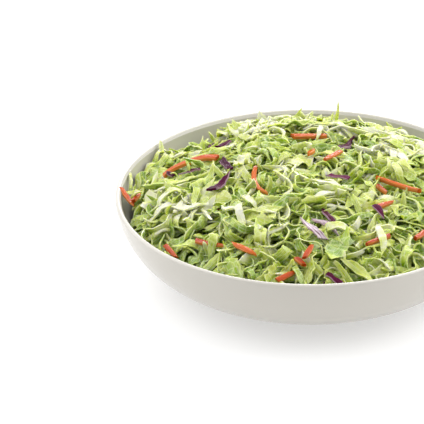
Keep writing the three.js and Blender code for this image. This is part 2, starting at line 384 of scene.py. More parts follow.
curledShreds = {
    "name": "cabbage_shreds_curled", "slot": "cabbage", "count": 290,
    "length": (16, 34), "width": (2.8, 5.6), "thickness": (0.7, 1.1),
    "curl": (-0.22, 0.22), "wave": (0.05, 0.24), "waveLength": (10, 20),
    "twist": (-0.12, 0.12), "sway": (-0.06, 0.06),
    "ruffle": (0.05, 0.5), "ruffleLength": (8, 16), "cup": (-0.5, 0.5),
    "taper": (0.1, 0.9), "taperBack": (0, 0.7), "slant": (-1.5, 1.5), "ragged": 0.06,
    "tone": (0.05, 0.95), "fade": (-0.45, 0.45),
    "steps": 24, "across": (-1, 0, 1), "edgeDrop": 0.2, "balls": (9, 2), "ballRadius": 0.95,
}
ribShreds = {
    "name": "cabbage_shreds_pale", "slot": "cabbage", "count": 330,
    "length": (18, 38), "width": (2.6, 6.2), "thickness": (0.9, 1.7),
    "curl": (-0.1, 0.1), "wave": (0.02, 0.12), "waveLength": (12, 26),
    "twist": (-0.05, 0.05), "sway": (-0.025, 0.025),
    "ruffle": (0, 0.5), "ruffleLength": (6, 12), "cup": (-0.5, 0.5),
    "taper": (0.1, 0.8), "taperBack": (0, 0.6), "slant": (-1.5, 1.5), "ragged": 0.06,
    "tone": (-0.05, 0.32), "fade": (-0.25, 0.25),
    "steps": 20, "across": (-1, -0.45, 0.45, 1), "edgeDrop": 0.25, "balls": (9, 2), "ballRadius": 1.15,
    "laid": (
        (9, 59, 20, 80, -0.3, 0.1), (41, -74, 22, 100, 0.4, 0.05), (-46, 55, 24, 60, 0.5, 0.1),
        (-99, 50, 24, 66, 0.4, 0.3), (-80, 76, 22, 40, 0.2, 0.2),
    ),
    "laidRank": 1.36,
    "propped": (
        (-28, 90, 54, 16, 80, 66, 0, 0.05), (-1, 88, 56, 15, 100, 62, 0, 0.1),
        (5, 88, 56, 18, -10, -58, 0.2, 0.15),
    ),
}
wisps = {
    "name": "cabbage_wisps", "slot": "cabbage", "count": 130,
    "length": (20, 44), "width": (0.9, 1.9), "thickness": (0.5, 0.9),
    "curl": (-0.12, 0.12), "wave": (0.05, 0.24), "waveLength": (10, 22),
    "twist": (-0.06, 0.06), "sway": (-0.06, 0.06),
    "ruffle": (0, 0.2), "ruffleLength": (6, 12), "cup": (-0.1, 0.1),
    "taper": (0.2, 0.9), "taperBack": (0.1, 0.8), "slant": (-1, 1), "ragged": 0.05,
    "tone": (0, 0.6), "fade": (-0.25, 0.25),
    "steps": 22, "across": (-1, 0, 1), "edgeDrop": 0.3, "balls": (18, 1), "ballRadius": 0.8,
}
leafPieces = {
    "name": "cabbage_leaf_pieces", "slot": "cabbage", "count": 110,
    "length": (16, 28), "width": (8, 14), "thickness": (0.45, 0.7),
    "curl": (-0.05, 0.05), "wave": (0.04, 0.14), "waveLength": (10, 20),
    "twist": (-0.04, 0.04), "sway": (-0.015, 0.015),
    "ruffle": (0.6, 1.8), "ruffleLength": (6, 12), "cup": (-1.8, 1.8),
    "taper": (0.1, 0.8), "taperBack": (0, 0.7), "slant": (-0.8, 0.8), "ragged": 0.08,
    "tone": (0.2, 0.85), "fade": (-0.3, 0.3),
    "steps": 22, "across": (-1, -0.85, -0.6, -0.3, 0, 0.3, 0.6, 0.85, 1), "edgeDrop": 0.2,
    "balls": (6, 3), "ballRadius": 1.5,
    "laid": (
        (-78, -36, 24, 5, 0.1, 0.25), (-36, 79, 24, 15, 0.2, 0.4), (38, 70, 20, -10, 0.1, 0.3),
        (14, -82, 24, 62, 0.3, 0.9), (-41, 16, 20, 70, 0.1, 0.2), (-6, 17, 20, 20, 0.1, 0.35),
        (-20, 74, 22, -20, 0.1, 0.3), (30, -30, 22, 40, 0.2, 0.35), (62, 16, 22, -15, 0.1, 0.45),
    ),
    "laidRank": 1.15, "lastRank": 0.85,
}
carrotSticks = {
    "name": "carrot_sticks", "slot": "carrot", "count": 4,
    "length": (16, 30), "width": (3.0, 3.9), "thickness": (2.1, 2.9),
    "curl": (-0.012, 0.012), "wave": (0, 0.02), "waveLength": (20, 40),
    "twist": (-0.015, 0.015), "sway": (-0.012, 0.012),
    "ruffle": (0, 0), "ruffleLength": (9, 14), "cup": (0, 0),
    "taper": (0, 0.9), "taperBack": (0, 0.6), "slant": (-0.8, 0.8), "ragged": 0.05,
    "tone": (0.3, 1), "fade": (-0.25, 0.25),
    "steps": 18, "across": (-1, -0.8, 0, 0.8, 1), "edgeDrop": 0.35, "balls": (9, 2), "ballRadius": 1.4,
    "laid": (
        (-74, 32, 37, 11, -1.0, 0.4), (-106.5, -1, 11, 66, 0, 0.7), (-31.5, -8, 38, -80, 0.9, 0.2),
        (1.5, 54, 21, 3, 0.1, 0.4), (15, 19, 16, 51, 0, 0.4), (2, 25, 8, 60, 0, 0),
        (54, -12, 28, -22, -0.2, 0.3), (44, -17, 10, -56, 0, 0.8), (44, -37, 15, 35, 0, 0.5),
        (-62, -69, 19, -28, 0, 0.9), (-41, -79, 18, -38, 0, 0.2), (-85, -63, 15, -64, 0, 0.7),
        (-16, -99, 14, 34, 0, 0.5), (-8, -92, 7, -49, 0, 0.8), (-3, -88, 11, 63, 0, 0.6),
        (39, -74, 17, 36, 0, 0.8), (67, -60, 17, 50, 0, 0.5), (86, 10, 24, 70, 0.3, 0.4),
        (84, -31, 18, -65, 0, 0.7),
    ),
    "propped": ((-112.5, 1.5, 49, 18, -62, -12, 0.1, 0.5),),  # leans on the bowl's side
    "girths": ((0, 1.2), (2, 1.1), (3, 1.15)),
    "laidRank": 1.32, "lastRank": 0.4,
}
redStrips = {
    "name": "red_cabbage_strips", "slot": "red_cabbage", "count": 3,
    "length": (12, 20), "width": (3.2, 4.7), "thickness": (0.9, 1.4),
    "curl": (-0.06, 0.06), "wave": (0, 0.1), "waveLength": (12, 24),
    "twist": (-0.05, 0.05), "sway": (-0.015, 0.015),
    "ruffle": (0, 0.5), "ruffleLength": (7, 14), "cup": (-0.8, 0.8),
    "taper": (0, 0.6), "taperBack": (0, 0.5), "slant": (-2, 2), "ragged": 0.12,
    "tone": (0.55, 1), "fade": (-0.1, 0.1),
    "steps": 16, "across": (-1, -0.75, 0, 0.75, 1), "edgeDrop": 0.2, "balls": (9, 2), "ballRadius": 1.2,
    "laid": (
        (-57.5, 74, 12, 16, -0.9, 0.9), (-52, 60, 11, 46, 0, 0.9), (-51, 19, 16, -73, 0, 1),
        (-73, 18, 13, 0, -0.9, 0.9), (-86, 24, 6, -40, 0, 1), (-55, -12, 20, 58, 0, 0.9),
        (24, 46, 20, 57, 0, 1), (18, -6, 13, -16, 0, 0.6), (7.5, -58, 19, -49, 0.2, 0.2),
        (10, -50, 16, -68, 0, 0.9), (1, -68, 19, -57, 0.1, 0.1), (12, -102, 13, -40, 0, 0.8),
        (8, -102, 7, 40, 0, 0.9), (41, -45, 9, -57, 0, 0.8), (88, -8, 14, 75, 0, 0.9),
        (62, 80, 13, -40, 0, 0.9),
    ),
    "girths": ((5, 1.35), (6, 1.3)),
    "laidRank": 1.42, "lastRank": 0.5,
}


pile = {
    "fall": 0.45,  # millimetres a step
    "steps": 200,
    "sweeps": 2,  # of pushing apart in each step
    "restSweeps": 24,
    "refresh": 4,  # steps between two searches for neighbours
    "margin": 1.6,
    "brake": 4,  # balls in contact that halve a strip's fall
    "firmness": 3,
    "stiffness": 4,
    "moveLimit": 1.2,
    "turnLimit": 0.15,
    "pressFrom": 0.8,  # share of the fall after which strips that stand proud are pressed down
    "clearStep": 0.5,  # how fast a strip leaves a free space
    "wallRoom": 5.0,
    "lowStart": 3.0,  # above the core
    "highStart": 30.0,
    "proud": 4.0,  # how far a strip may stand above the heap's mean top before it is pressed down
    "press": 0.4,
    "hold": 0.15,  # how firmly a laid strip keeps its place and how it lies
    "topShare": 0.3,  # the last strips to fall, which keep off the coloured ones
    "tries": 24,
    "room": 6.5,  # what they try to leave free round a coloured strip
    "roll": 1.2,
    "laidRoll": 0.2,
    "pitch": 0.35,
    "lateStart": 0.06,
    "laidSpread": 0.05,
    "marks": 7,  # points along a strip by which its distance to the coloured ones is judged
}


def nearPairs(points, owner, reach):
    # pairs of balls of different strips that are within reach of each other
    cell = np.floor((points - points.min(axis=0)) / reach).astype(np.int64) + 1
    span = cell.max(axis=0) + 2
    key = (cell[:, 0] * span[1] + cell[:, 1]) * span[2] + cell[:, 2]
    order = np.argsort(key, kind="stable")
    key = key[order]
    steps = [(x, y, z) for x in (0, 1) for y in (-1, 0, 1) for z in (-1, 0, 1) if (x, y, z) >= (0, 0, 0)]
    firsts, seconds = [], []
    for x, y, z in steps:
        wanted = key + (x * span[1] + y) * span[2] + z
        low, high = np.searchsorted(key, wanted), np.searchsorted(key, wanted, "right")
        found = high - low
        first = np.repeat(np.arange(len(key)), found)
        second = np.arange(found.sum()) + np.repeat(low - np.cumsum(found) + found, found)
        keep = first < second if (x, y, z) == (0, 0, 0) else slice(None)
        firsts.append(order[first[keep]])
        seconds.append(order[second[keep]])
    first, second = np.concatenate(firsts), np.concatenate(seconds)
    keep = owner[first] != owner[second]
    first, second = first[keep], second[keep]
    near = ((points[first] - points[second]) ** 2).sum(axis=1) < reach * reach
    return first[near], second[near]


def pushesOf(points, radii, pairs, isResting):
    # how far each ball has to move to be clear of its neighbours, the core, the wall and the free spaces
    first, second = pairs
    gap = points[first] - points[second]
    distance = np.sqrt((gap**2).sum(axis=1))
    overlap = radii[first] + radii[second] - distance
    touching = overlap > 0
    first, second = first[touching], second[touching]
    push = gap[touching] * (0.5 * overlap[touching] / np.maximum(distance[touching], 1e-3))[:, None]
    total = len(points)
    pushes = np.stack([np.bincount(first, push[:, k], total) - np.bincount(second, push[:, k], total)
                       for k in range(3)], -1)
    contacts = np.bincount(first, minlength=total) + np.bincount(second, minlength=total)
    x, y, z = points.T
    lift = np.maximum(0, coreHeight(x, y) + radii - z)
    radius = np.maximum(np.hypot(x, y), 1e-6)
    inward = np.maximum(0, radius - wallRadius(z) + radii)
    pushes[:, 2] += lift
    pushes[:, 0] -= x / radius * inward
    pushes[:, 1] -= y / radius * inward
    contacts += (lift > 0) | (inward > 0)
    if isResting:
        pushes[:, 2] -= pile["press"] * np.maximum(0, z - heapTop(x, y) - pile["proud"])
    for low, high in freeSpaces:
        inside = np.all((points > low - radii[:, None]) & (points < high + radii[:, None]), axis=1)
        pushes[inside, 2] -= pile["clearStep"]
    return pushes, contacts


def turnedBack(turn, goal, grip):
    # turns each strip part of the way back to how it was laid
    off = goal @ turn.transpose(0, 2, 1)
    axis = np.stack([off[:, i, j] - off[:, j, i] for i, j in ((2, 1), (0, 2), (1, 0))], -1) / 2
    return turnsOf(grip[:, None] * axis) @ turn


def settle(balls, radius, centre, turn, grip):
    # lets the strips sink together until they rest on each other
    count, each = balls.shape[:2]
    owner = np.repeat(np.arange(count), each)
    radii = np.repeat(radius, each)
    haste = 1
    fallSweeps = pile["steps"] * pile["sweeps"] // haste
    fall = haste * pile["fall"] / pile["sweeps"]
    touched = np.zeros(count)
    held = np.flatnonzero(grip)
    grip, place, goal = grip[held], centre[held].copy(), turn[held].copy()
    pull = np.stack([grip, grip, grip == 1], -1)  # only a propped strip keeps its height
    for sweep in range(fallSweeps + pile["restSweeps"]):
        if sweep < fallSweeps:
            centre[:, 2] -= fall / (1 + touched / pile["brake"])
        arms = np.einsum("nij,nbj->nbi", turn, balls)
        points = (centre[:, None] + arms).reshape(-1, 3)
        if sweep % (pile["refresh"] * pile["sweeps"]) == 0:
            pairs = nearPairs(points, owner, 2 * radii.max() + pile["margin"])
        pushes, contacts = pushesOf(points, radii, pairs, sweep > pile["pressFrom"] * fallSweeps)
        pushes = pushes.reshape(count, each, 3)
        touched = (contacts.reshape(count, each) > 0).sum(axis=1)
        weight = (each / (touched + pile["firmness"]))[:, None]
        spread = (arms**2).sum(axis=(1, 2))[:, None, None] * np.eye(3) - np.einsum("nbi,nbj->nij", arms, arms)
        lever = np.cross(arms, pushes).sum(axis=1)
        spin = np.linalg.solve(spread + pile["stiffness"] * np.eye(3), lever[..., None])[..., 0]
        centre += np.clip(weight * pushes.mean(axis=1), -pile["moveLimit"], pile["moveLimit"])
        turn = turnsOf(np.clip(weight * spin, -pile["turnLimit"], pile["turnLimit"])) @ turn
        centre[held] += pull * (place - centre[held])
        turn[held] = turnedBack(turn[held], goal, grip)
    return centre, turn


goldenAngle = math.pi * (3 - math.sqrt(5))


def fromPolar(radius, angle):
    return np.stack([radius * np.cos(angle), radius * np.sin(angle)], -1)


def placeInHeap(share, angle):
    # even over the heap in plan where the shares are even between 0 and 1
    return fromPolar((heap["radius"] - pile["wallRoom"]) * np.sqrt(share), angle)


def startPlaces(batch):
    # where each strip starts in plan, how it is turned, and when it falls, from 0 for the first
    given = givenRows(batch["kind"])
    count, free = len(batch["length"]), batch["kind"]["count"]
    late = batch["kind"].get("laidRank", 1.0)
    last = batch["kind"].get("lastRank", 1.0)
    order = random.permutation(free) + 0.5
    spiral = placeInHeap(order / max(free, 1), goldenAngle * order)
    batch["given"] = len(given)
    batch["grip"] = np.concatenate([np.where(np.isnan(given[:, 2]), pile["hold"], 1), np.zeros(free)])
    batch["place"] = np.concatenate([given[:, :2], spiral])
    batch["height"] = np.concatenate([given[:, 2], np.full(free, np.nan)])
    batch["heading"] = np.concatenate([np.radians(given[:, 4]), between((0, 2 * math.pi), free)])
    ranks = between((late, late + pile["laidSpread"]), len(given)), between((0, last), free)
    batch["rank"] = np.concatenate(ranks)
    batch["pitch"] = between((-pile["pitch"], pile["pitch"]), count)
    batch["roll"] = between((-pile["roll"], pile["roll"]), count)
    batch["pitch"][:len(given)] = -np.radians(given[:, 5])
    batch["roll"][:len(given)] *= pile["laidRoll"]


def pointsAlong(place, heading, length):
    steps = np.linspace(-0.5, 0.5, pile["marks"])
    return place[..., None, :] + steps[:, None] * fromPolar(length, heading)[..., None, :]


def keepOffColoured(batch, marks):
    # the strips that fall last look for a place where they leave the coloured ones in view
    last = batch["given"] + np.flatnonzero(batch["rank"][batch["given"]:] > 1 - pile["topShare"])
    tries = (len(last), pile["tries"])
    place = placeInHeap(random.uniform(0, 1, tries), random.uniform(0, 2 * math.pi, tries))
    heading = random.uniform(0, 2 * math.pi, tries)
    place[:, 0], heading[:, 0] = batch["place"][last], batch["heading"][last]
    length = np.repeat(batch["length"][last][:, None], pile["tries"], axis=1)
    points = pointsAlong(place, heading, length).reshape(-1, 2)
    room = np.full(len(points), np.inf)
    for mark in marks:
        room = np.minimum(room, ((points - mark) ** 2).sum(axis=1))
    room = np.sqrt(room.reshape(*tries, -1).min(axis=2)) - batch["kind"]["width"][1] / 2
    best = np.argmax(np.minimum(room, pile["room"]), axis=1)
    rows = np.arange(len(last))
    batch["place"][last], batch["heading"][last] = place[rows, best], heading[rows, best]
    batch["rank"][last] += pile["topShare"] + pile["lateStart"]


def headedTurns(heading, pitch, roll):
    none = np.zeros_like(heading)
    spin = turnsOf(np.stack([none, none, heading], -1))
    dip = turnsOf(np.stack([none, pitch, none], -1))
    return spin @ dip @ turnsOf(np.stack([roll, none, none], -1))


def slopeTurns(place, step=0.5):
    # the tilt of the heap's top at each place
    x, y = place.T
    slopes = [(heapTop(x - dx, y - dy) - heapTop(x + dx, y + dy)) / (2 * step)
              for dx, dy in ((step, 0), (0, step))]
    axis = np.stack([-slopes[1], slopes[0], np.zeros_like(x)], -1)
    return turnsOf(unit(axis) * np.arctan(np.linalg.norm(axis, axis=-1, keepdims=True)))


def settledStrips(batches):
    for batch in batches:
        startPlaces(batch)
    coloured = [batch for batch in batches if batch["kind"]["slot"] != "cabbage"]
    marks = np.concatenate([pointsAlong(batch["place"], batch["heading"], batch["length"])[:batch["given"]]
                            .reshape(-1, 2) for batch in coloured])
    for batch in batches:
        if batch["kind"]["slot"] == "cabbage":
            keepOffColoured(batch, marks)
    joined = {name: np.concatenate([batch[name] for batch in batches])
              for name in ("balls", "place", "height", "heading", "rank", "pitch", "roll", "grip")}
    radius = np.concatenate([np.full(len(batch["length"]), batch["kind"]["ballRadius"]) for batch in batches])
    height = coreHeight(*joined["place"].T) + pile["lowStart"]
    height += (pile["highStart"] - pile["lowStart"]) * joined["rank"]
    isPropped = joined["grip"] == 1
    height[isPropped] = joined["height"][isPropped]
    centre = np.concatenate([joined["place"], height[:, None]], axis=1)
    turn = headedTurns(joined["heading"], joined["pitch"], joined["roll"])
    turn[~isPropped] = slopeTurns(joined["place"][~isPropped]) @ turn[~isPropped]
    centre, turn = settle(joined["balls"], radius, centre, turn, joined["grip"])
    first = 0
    for batch in batches:
        rows = slice(first, first + len(batch["length"]))
        batch["centre"], batch["turn"] = centre[rows], turn[rows]
        first = rows.stop


def stripFaces(stations, loop):
    # the quads of one strip: corners as station and place round the loop, and their place on its own sheet
    s, k = np.meshgrid(np.arange(stations - 1), np.arange(loop), indexing="ij")
    sideS = np.stack([s, s + 1, s + 1, s], -1).reshape(-1, 4)
    sideK = np.stack([k, k, k + 1, k + 1], -1).reshape(-1, 4)
    k = np.arange(loop // 2 - 1)
    endK = np.stack([k, k + 1, loop - 2 - k, loop - 1 - k], -1)
    sheetK = np.stack([k, k + 1, k + 1, k], -1)
    startS, startOut = np.zeros_like(endK), np.array([1, 1, 0, 0]) + 0 * endK
    stop = stations - 1 + startS
    allS = np.concatenate([sideS, startS, stop])
    allK = np.concatenate([sideK, endK, endK[:, ::-1]])
    sheetAlong = np.concatenate([sideS + 1, startOut, stop + 1 + (1 - startOut[:, ::-1])])
    sheetAround = np.concatenate([sideK, sheetK, sheetK[:, ::-1]])
    return allS * loop + allK % loop, sheetAlong / (stations + 1), sheetAround / loop


baking = {
    "gaps": (0.04, 0.08),  # left free at the ends and sides of each strip's sheet, as shares of it
    "rowsToColumns": 3.2,
    "sharpAngle": 50,  # degrees
}


def stripsPiece(batch, material):
    kind, count = batch["kind"], len(batch["length"])
    stations, loop = batch["skin"].shape[1:3]
    points = np.einsum("nij,nskj->nski", batch["turn"], batch["skin"]) + batch["centre"][:, None, None]
    # painted shade: cabbage shreds that lie deeper below the heap's top get a darker, greener tone
    if kind["slot"] == "cabbage":
        depth = heapTop(points[..., 0], points[..., 1]) - points[..., 2]
        batch["look"][..., 0] = np.clip(batch["look"][..., 0] + cabbageLook["depthShade"] * depth, 0, 1)
    faces, sheetAlong, sheetAround = stripFaces(stations, loop)
    allFaces = (np.arange(count)[:, None, None] * stations * loop + faces).reshape(-1, 4)
    piece = meshPiece(kind["name"], points.reshape(-1, 3), allFaces, material, ["coleslaw"])
    mesh = piece.data
    look = mesh.color_attributes.new(name="look", type="FLOAT_COLOR", domain="POINT")
    look.data.foreach_set("color", batch["look"].astype(np.float32).ravel())
    # each strip has a sheet of its own, side by side with the others
    columns = math.ceil(math.sqrt(count / baking["rowsToColumns"]))
    rows = math.ceil(count / columns)
    index = np.arange(count)
    along, around = (gap + (1 - 2 * gap) * sheet.ravel()
                     for gap, sheet in zip(baking["gaps"], (sheetAlong, sheetAround)))
    u = ((index % columns)[:, None] + along) / columns
    v = ((index // columns)[:, None] + around) / rows
    fibres = batch["fibres"].reshape(-1, 2)[allFaces.ravel()]
    for label, places in (("OFBake", np.stack([u, v], -1)), ("fibres", fibres)):
        layer = mesh.uv_layers.new(name=label)
        layer.data.foreach_set("uv", places.astype(np.float32).ravel())
    mesh.set_sharp_from_angle(angle=math.radians(baking["sharpAngle"]))
    return piece


socketKinds = {"Color": "NodeSocketColor", "Normal": "NodeSocketVector"}  # by a name's last word


def newGroup(name, inputs, outputs):
    # inputs: socket name to first value; what is neither a colour nor a normal is a number
    group = bpy.data.node_groups.new(name, "ShaderNodeTree")
    for label, value in inputs.items():
        kind = socketKinds.get(label.split()[-1], "NodeSocketFloat")
        socket = group.interface.new_socket(name=label, in_out="INPUT", socket_type=kind)
        if value is not None:
            socket.default_value = value
    for label in outputs:
        kind = socketKinds.get(label, "NodeSocketFloat")
        group.interface.new_socket(name=label, in_out="OUTPUT", socket_type=kind)
    return group, group.nodes.new("NodeGroupInput").outputs, group.nodes.new("NodeGroupOutput").inputs


def feed(tree, socket, value):
    # value: a number, a vector, a colour or another node's output
    if isinstance(value, bpy.types.NodeSocket):
        tree.links.new(value, socket)
    else:
        socket.default_value = (*value, 1) if socket.type == "RGBA" else value


def addNode(tree, kind, inputs=None, **settings):
    # inputs: socket name or number to what feeds it
    node = tree.nodes.new(kind)
    for name, value in settings.items():
        setattr(node, name, value)
    for name, value in (inputs or {}).items():
        feed(tree, node.inputs[name], value)
    return node


def math2(tree, operation, first, second):
    return addNode(tree, "ShaderNodeMath", {0: first, 1: second}, operation=operation).outputs[0]


def positionOf(tree):
    return addNode(tree, "ShaderNodeNewGeometry").outputs["Position"]


def noiseOf(tree, place, scale, detail=2.0, **more):
    inputs = {"Vector": place, "Scale": scale, "Detail": detail, **more}
    return addNode(tree, "ShaderNodeTexNoise", inputs).outputs


def bumpOf(tree, strength, depth, height):
    # the depth is in millimetres
    inputs = {"Strength": strength, "Distance": depth / metre, "Height": height}
    return addNode(tree, "ShaderNodeBump", inputs).outputs["Normal"]


def ramp(tree, factor, stops):
    node = addNode(tree, "ShaderNodeValToRGB", {"Fac": factor})
    while len(node.color_ramp.elements) < len(stops):
        node.color_ramp.elements.new(0.5)
    for element, (place, colour) in zip(node.color_ramp.elements, stops):
        element.position = place
        element.color = (*colour, 1)
    return node.outputs["Color"]


def mixColour(tree, factor, first, second):
    return addNode(tree, "ShaderNodeMix", {0: factor, 6: first, 7: second}, data_type="RGBA").outputs[2]


def mixNumber(tree, factor, first, second):
    return addNode(tree, "ShaderNodeMix", {0: factor, 2: first, 3: second}, data_type="FLOAT").outputs[0]


def between01(tree, value, low, high):
    # 0 below low, 1 above high
    node = addNode(tree, "ShaderNodeMapRange", {"Value": value, "From Min": low, "From Max": high},
                   interpolation_type="SMOOTHSTEP")
    return node.outputs["Result"]


def lookOf(tree):
    # the strips' own values: tone and nearness to an edge
    node = addNode(tree, "ShaderNodeAttribute", attribute_name="look")
    parts = addNode(tree, "ShaderNodeSeparateColor", {"Color": node.outputs["Color"]}).outputs
    return parts["Red"], parts["Green"]


textures = {
    "streakSpan": (0.4, 0.66),  # values of the noise between which a streak comes in
    "streakRoughness": 0.55,
    "veinBend": (3, 3, 0),  # millimetres
    "veinBendScale": 0.2,
    "veinWidth": 0.12,
    "patchSize": 9,  # of thin dressing, in millimetres
    "patchSpan": (0.42, 0.6),
    "dimpleDepth": 0.4,
}


def makeFibreGroup():
    # lengthwise streaks, as in ribs and roots
    group, given, out = newGroup(
        "fibreStreaks", {"Color": None, "Streak Color": None, "Length": 14.0, "Width": 0.6, "Amount": 0.5},
        ("Color", "Height"))
    strand = addNode(group, "ShaderNodeUVMap", uv_map="fibres")
    parts = addNode(group, "ShaderNodeSeparateXYZ", {0: strand.outputs["UV"]}).outputs
    place = addNode(group, "ShaderNodeCombineXYZ", {
        "X": math2(group, "DIVIDE", parts["X"], given["Length"]),
        "Y": math2(group, "DIVIDE", parts["Y"], given["Width"]),
    }).outputs[0]
    noise = noiseOf(group, place, 1.0, 3.0, Roughness=textures["streakRoughness"])["Fac"]
    streak = between01(group, noise, *textures["streakSpan"])
    amount = math2(group, "MULTIPLY", streak, given["Amount"])
    group.links.new(mixColour(group, amount, given["Color"], given["Streak Color"]), out["Color"])
    group.links.new(streak, out["Height"])
    return group


def makeVeinGroup():
    # a fine net of veins, as on a leaf
    group, given, out = newGroup(
        "leafVeins", {"Color": None, "Vein Color": None, "Size": 5.0, "Amount": 0.5}, ("Color", "Height"))
    strand = addNode(group, "ShaderNodeUVMap", uv_map="fibres").outputs["UV"]
    bend = noiseOf(group, strand, textures["veinBendScale"])["Color"]
    offset = addNode(group, "ShaderNodeVectorMath", {0: bend, 1: textures["veinBend"]}, operation="MULTIPLY")
    place = addNode(group, "ShaderNodeVectorMath", {0: strand, 1: offset.outputs[0]}, operation="ADD")
    scale = math2(group, "DIVIDE", 1.0, given["Size"])
    net = addNode(group, "ShaderNodeTexVoronoi", {"Vector": place.outputs[0], "Scale": scale},
                  feature="DISTANCE_TO_EDGE")
    leaf = between01(group, net.outputs["Distance"], 0.0, textures["veinWidth"])
    vein = math2(group, "SUBTRACT", 1.0, leaf)
    amount = math2(group, "MULTIPLY", vein, given["Amount"])
    group.links.new(mixColour(group, amount, given["Color"], given["Vein Color"]), out["Color"])
    group.links.new(vein, out["Height"])
    return group


def makeEdgeGroup():
    # the thin pale line along a strip's cut edges; on the carrot sticks it is a painted highlight
    group, given, out = newGroup(
        "cutEdgeAndHighlight", {"Color": None, "Edge Color": None, "Start": 0.7, "Amount": 0.5}, ("Color",))
    edge = lookOf(group)[1]
    amount = math2(group, "MULTIPLY", between01(group, edge, given["Start"], 1.0), given["Amount"])
    group.links.new(mixColour(group, amount, given["Color"], given["Edge Color"]), out["Color"])
    return group


def makeMoistGroup():
    # a wet skin: patches of thin dressing, small dimples, and the height of what lies under it
    group, given, out = newGroup(
        "moistSkin",
        {"Height": 0.0, "Dry Roughness": 0.5, "Wet Roughness": 0.2, "Grain": 2.0, "Relief": 0.5},
        ("Roughness", "Normal"))
    position = positionOf(group)
    dimples = noiseOf(group, position, math2(group, "DIVIDE", metre, given["Grain"]), 3.0)["Fac"]
    patches = noiseOf(group, position, metre / textures["patchSize"])["Fac"]
    wet = between01(group, patches, *textures["patchSpan"])
    height = math2(group, "ADD", dimples, given["Height"])
    normal = bumpOf(group, given["Relief"], textures["dimpleDepth"], height)
    group.links.new(mixNumber(group, wet, given["Dry Roughness"], given["Wet Roughness"]), out["Roughness"])
    group.links.new(normal, out["Normal"])
    return group


def useGroup(tree, group, **values):
    # values by socket name, with underscores for spaces
    inputs = {name.replace("_", " "): value for name, value in values.items()}
    return addNode(tree, "ShaderNodeGroup", inputs, node_tree=group).outputs


def newMaterial(name, **constants):
    material = bpy.data.materials.new(name)
    material.use_nodes = True
    tree = material.node_tree
    shader = tree.nodes["Principled BSDF"]
    for label, value in constants.items():
        feed(tree, shader.inputs[label.replace("_", " ")], value)
    return material, tree, shader


def wire(tree, shader, colour, skin):
    tree.links.new(colour, shader.inputs["Base Color"])
    tree.links.new(skin["Roughness"], shader.inputs["Roughness"])
    tree.links.new(skin["Normal"], shader.inputs["Normal"])


fibreGroup, veinGroup = makeFibreGroup(), makeVeinGroup()
edgeGroup, moistGroup = makeEdgeGroup(), makeMoistGroup()

cabbageLook = {
    "tones": (
        (0.0, (0.62, 0.62, 0.49)), (0.15, (0.57, 0.60, 0.30)), (0.32, (0.50, 0.56, 0.09)),
        (0.6, (0.38, 0.48, 0.004)), (1.0, (0.18, 0.31, 0.002)),
    ),
    "edge": (0.64, 0.68, 0.38),
    "streak": (0.66, 0.66, 0.54),
    "vein": (0.72, 0.80, 0.38),
    "clouds": ((9, 1.2), (36, 1.3)),  # size in millimetres and strength
    "depthShade": 0.055,  # painted shade: how much darker and greener a shred is painted for each millimetre below the heap's top
    "glow": 0.65,  # how much light passes through a shred
    "glowRadius": (1.8, 2.0, 0.4),
    "gloss": 0.5,
}


def makeCabbageMaterial(name, edgeAmount, veinAmount, fibreAmount, dryRoughness):
    material, tree, shader = newMaterial(
        name, Subsurface_Weight=cabbageLook["glow"], Subsurface_Radius=cabbageLook["glowRadius"],
        Subsurface_Scale=1 / metre, Specular_IOR_Level=cabbageLook["gloss"])
    tone = lookOf(tree)[0]
    place = positionOf(tree)
    for size, strength in cabbageLook["clouds"]:
        drift = math2(tree, "SUBTRACT", noiseOf(tree, place, metre / size, 3.0)["Fac"], 0.5)
        tone = math2(tree, "ADD", tone, math2(tree, "MULTIPLY", drift, strength))
    colour = ramp(tree, tone, cabbageLook["tones"])
    veins = useGroup(tree, veinGroup, Color=colour, Vein_Color=cabbageLook["vein"], Amount=veinAmount)
    fibres = useGroup(tree, fibreGroup, Color=veins["Color"], Streak_Color=cabbageLook["streak"],
                      Amount=fibreAmount)
    cut = useGroup(tree, edgeGroup, Color=fibres["Color"], Edge_Color=cabbageLook["edge"], Amount=edgeAmount)
    relief = math2(tree, "MULTIPLY", math2(tree, "ADD", veins["Height"], fibres["Height"]), 0.5)
    wire(tree, shader, cut["Color"], useGroup(tree, moistGroup, Height=relief, Dry_Roughness=dryRoughness))
    return material


carrotLook = {
    "tones": ((0.0, (0.60, 0.15, 0.002)), (0.5, (0.49, 0.066, 0.001)), (1.0, (0.32, 0.025, 0.001))),
    "streak": (0.44, 0.045, 0.001),
    # painted highlight: the paler band along the carrot stick's long edges
    "edge": (0.76, 0.34, 0.09),
    "fibres": {"Length": 11.0, "Width": 0.45, "Amount": 0.6},
    "cut": {"Start": 0.65, "Amount": 0.5},
    "skin": {"Dry_Roughness": 0.16, "Wet_Roughness": 0.1, "Relief": 0.3},
    "shader": {"Specular_IOR_Level": 0.35, "Subsurface_Weight": 0.2, "Subsurface_Radius": (1.2, 0.4, 0.1)},
}
redLook = {
    "tones": ((0.0, (0.78, 0.70, 0.74)), (0.5, (0.125, 0.002, 0.045)), (1.0, (0.035, 0.0003, 0.014))),
    "streak": (0.085, 0.002, 0.04),
    "edge": (0.60, 0.42, 0.52),
    "fibres": {"Length": 9.0, "Width": 0.8, "Amount": 0.85},
    "cut": {"Start": 0.86, "Amount": 0.6},
    "skin": {"Dry_Roughness": 0.4, "Wet_Roughness": 0.2},
    "shader": {"Specular_IOR_Level": 0.1, "Subsurface_Weight": 0.15, "Subsurface_Radius": (0.8, 0.2, 0.6)},
}


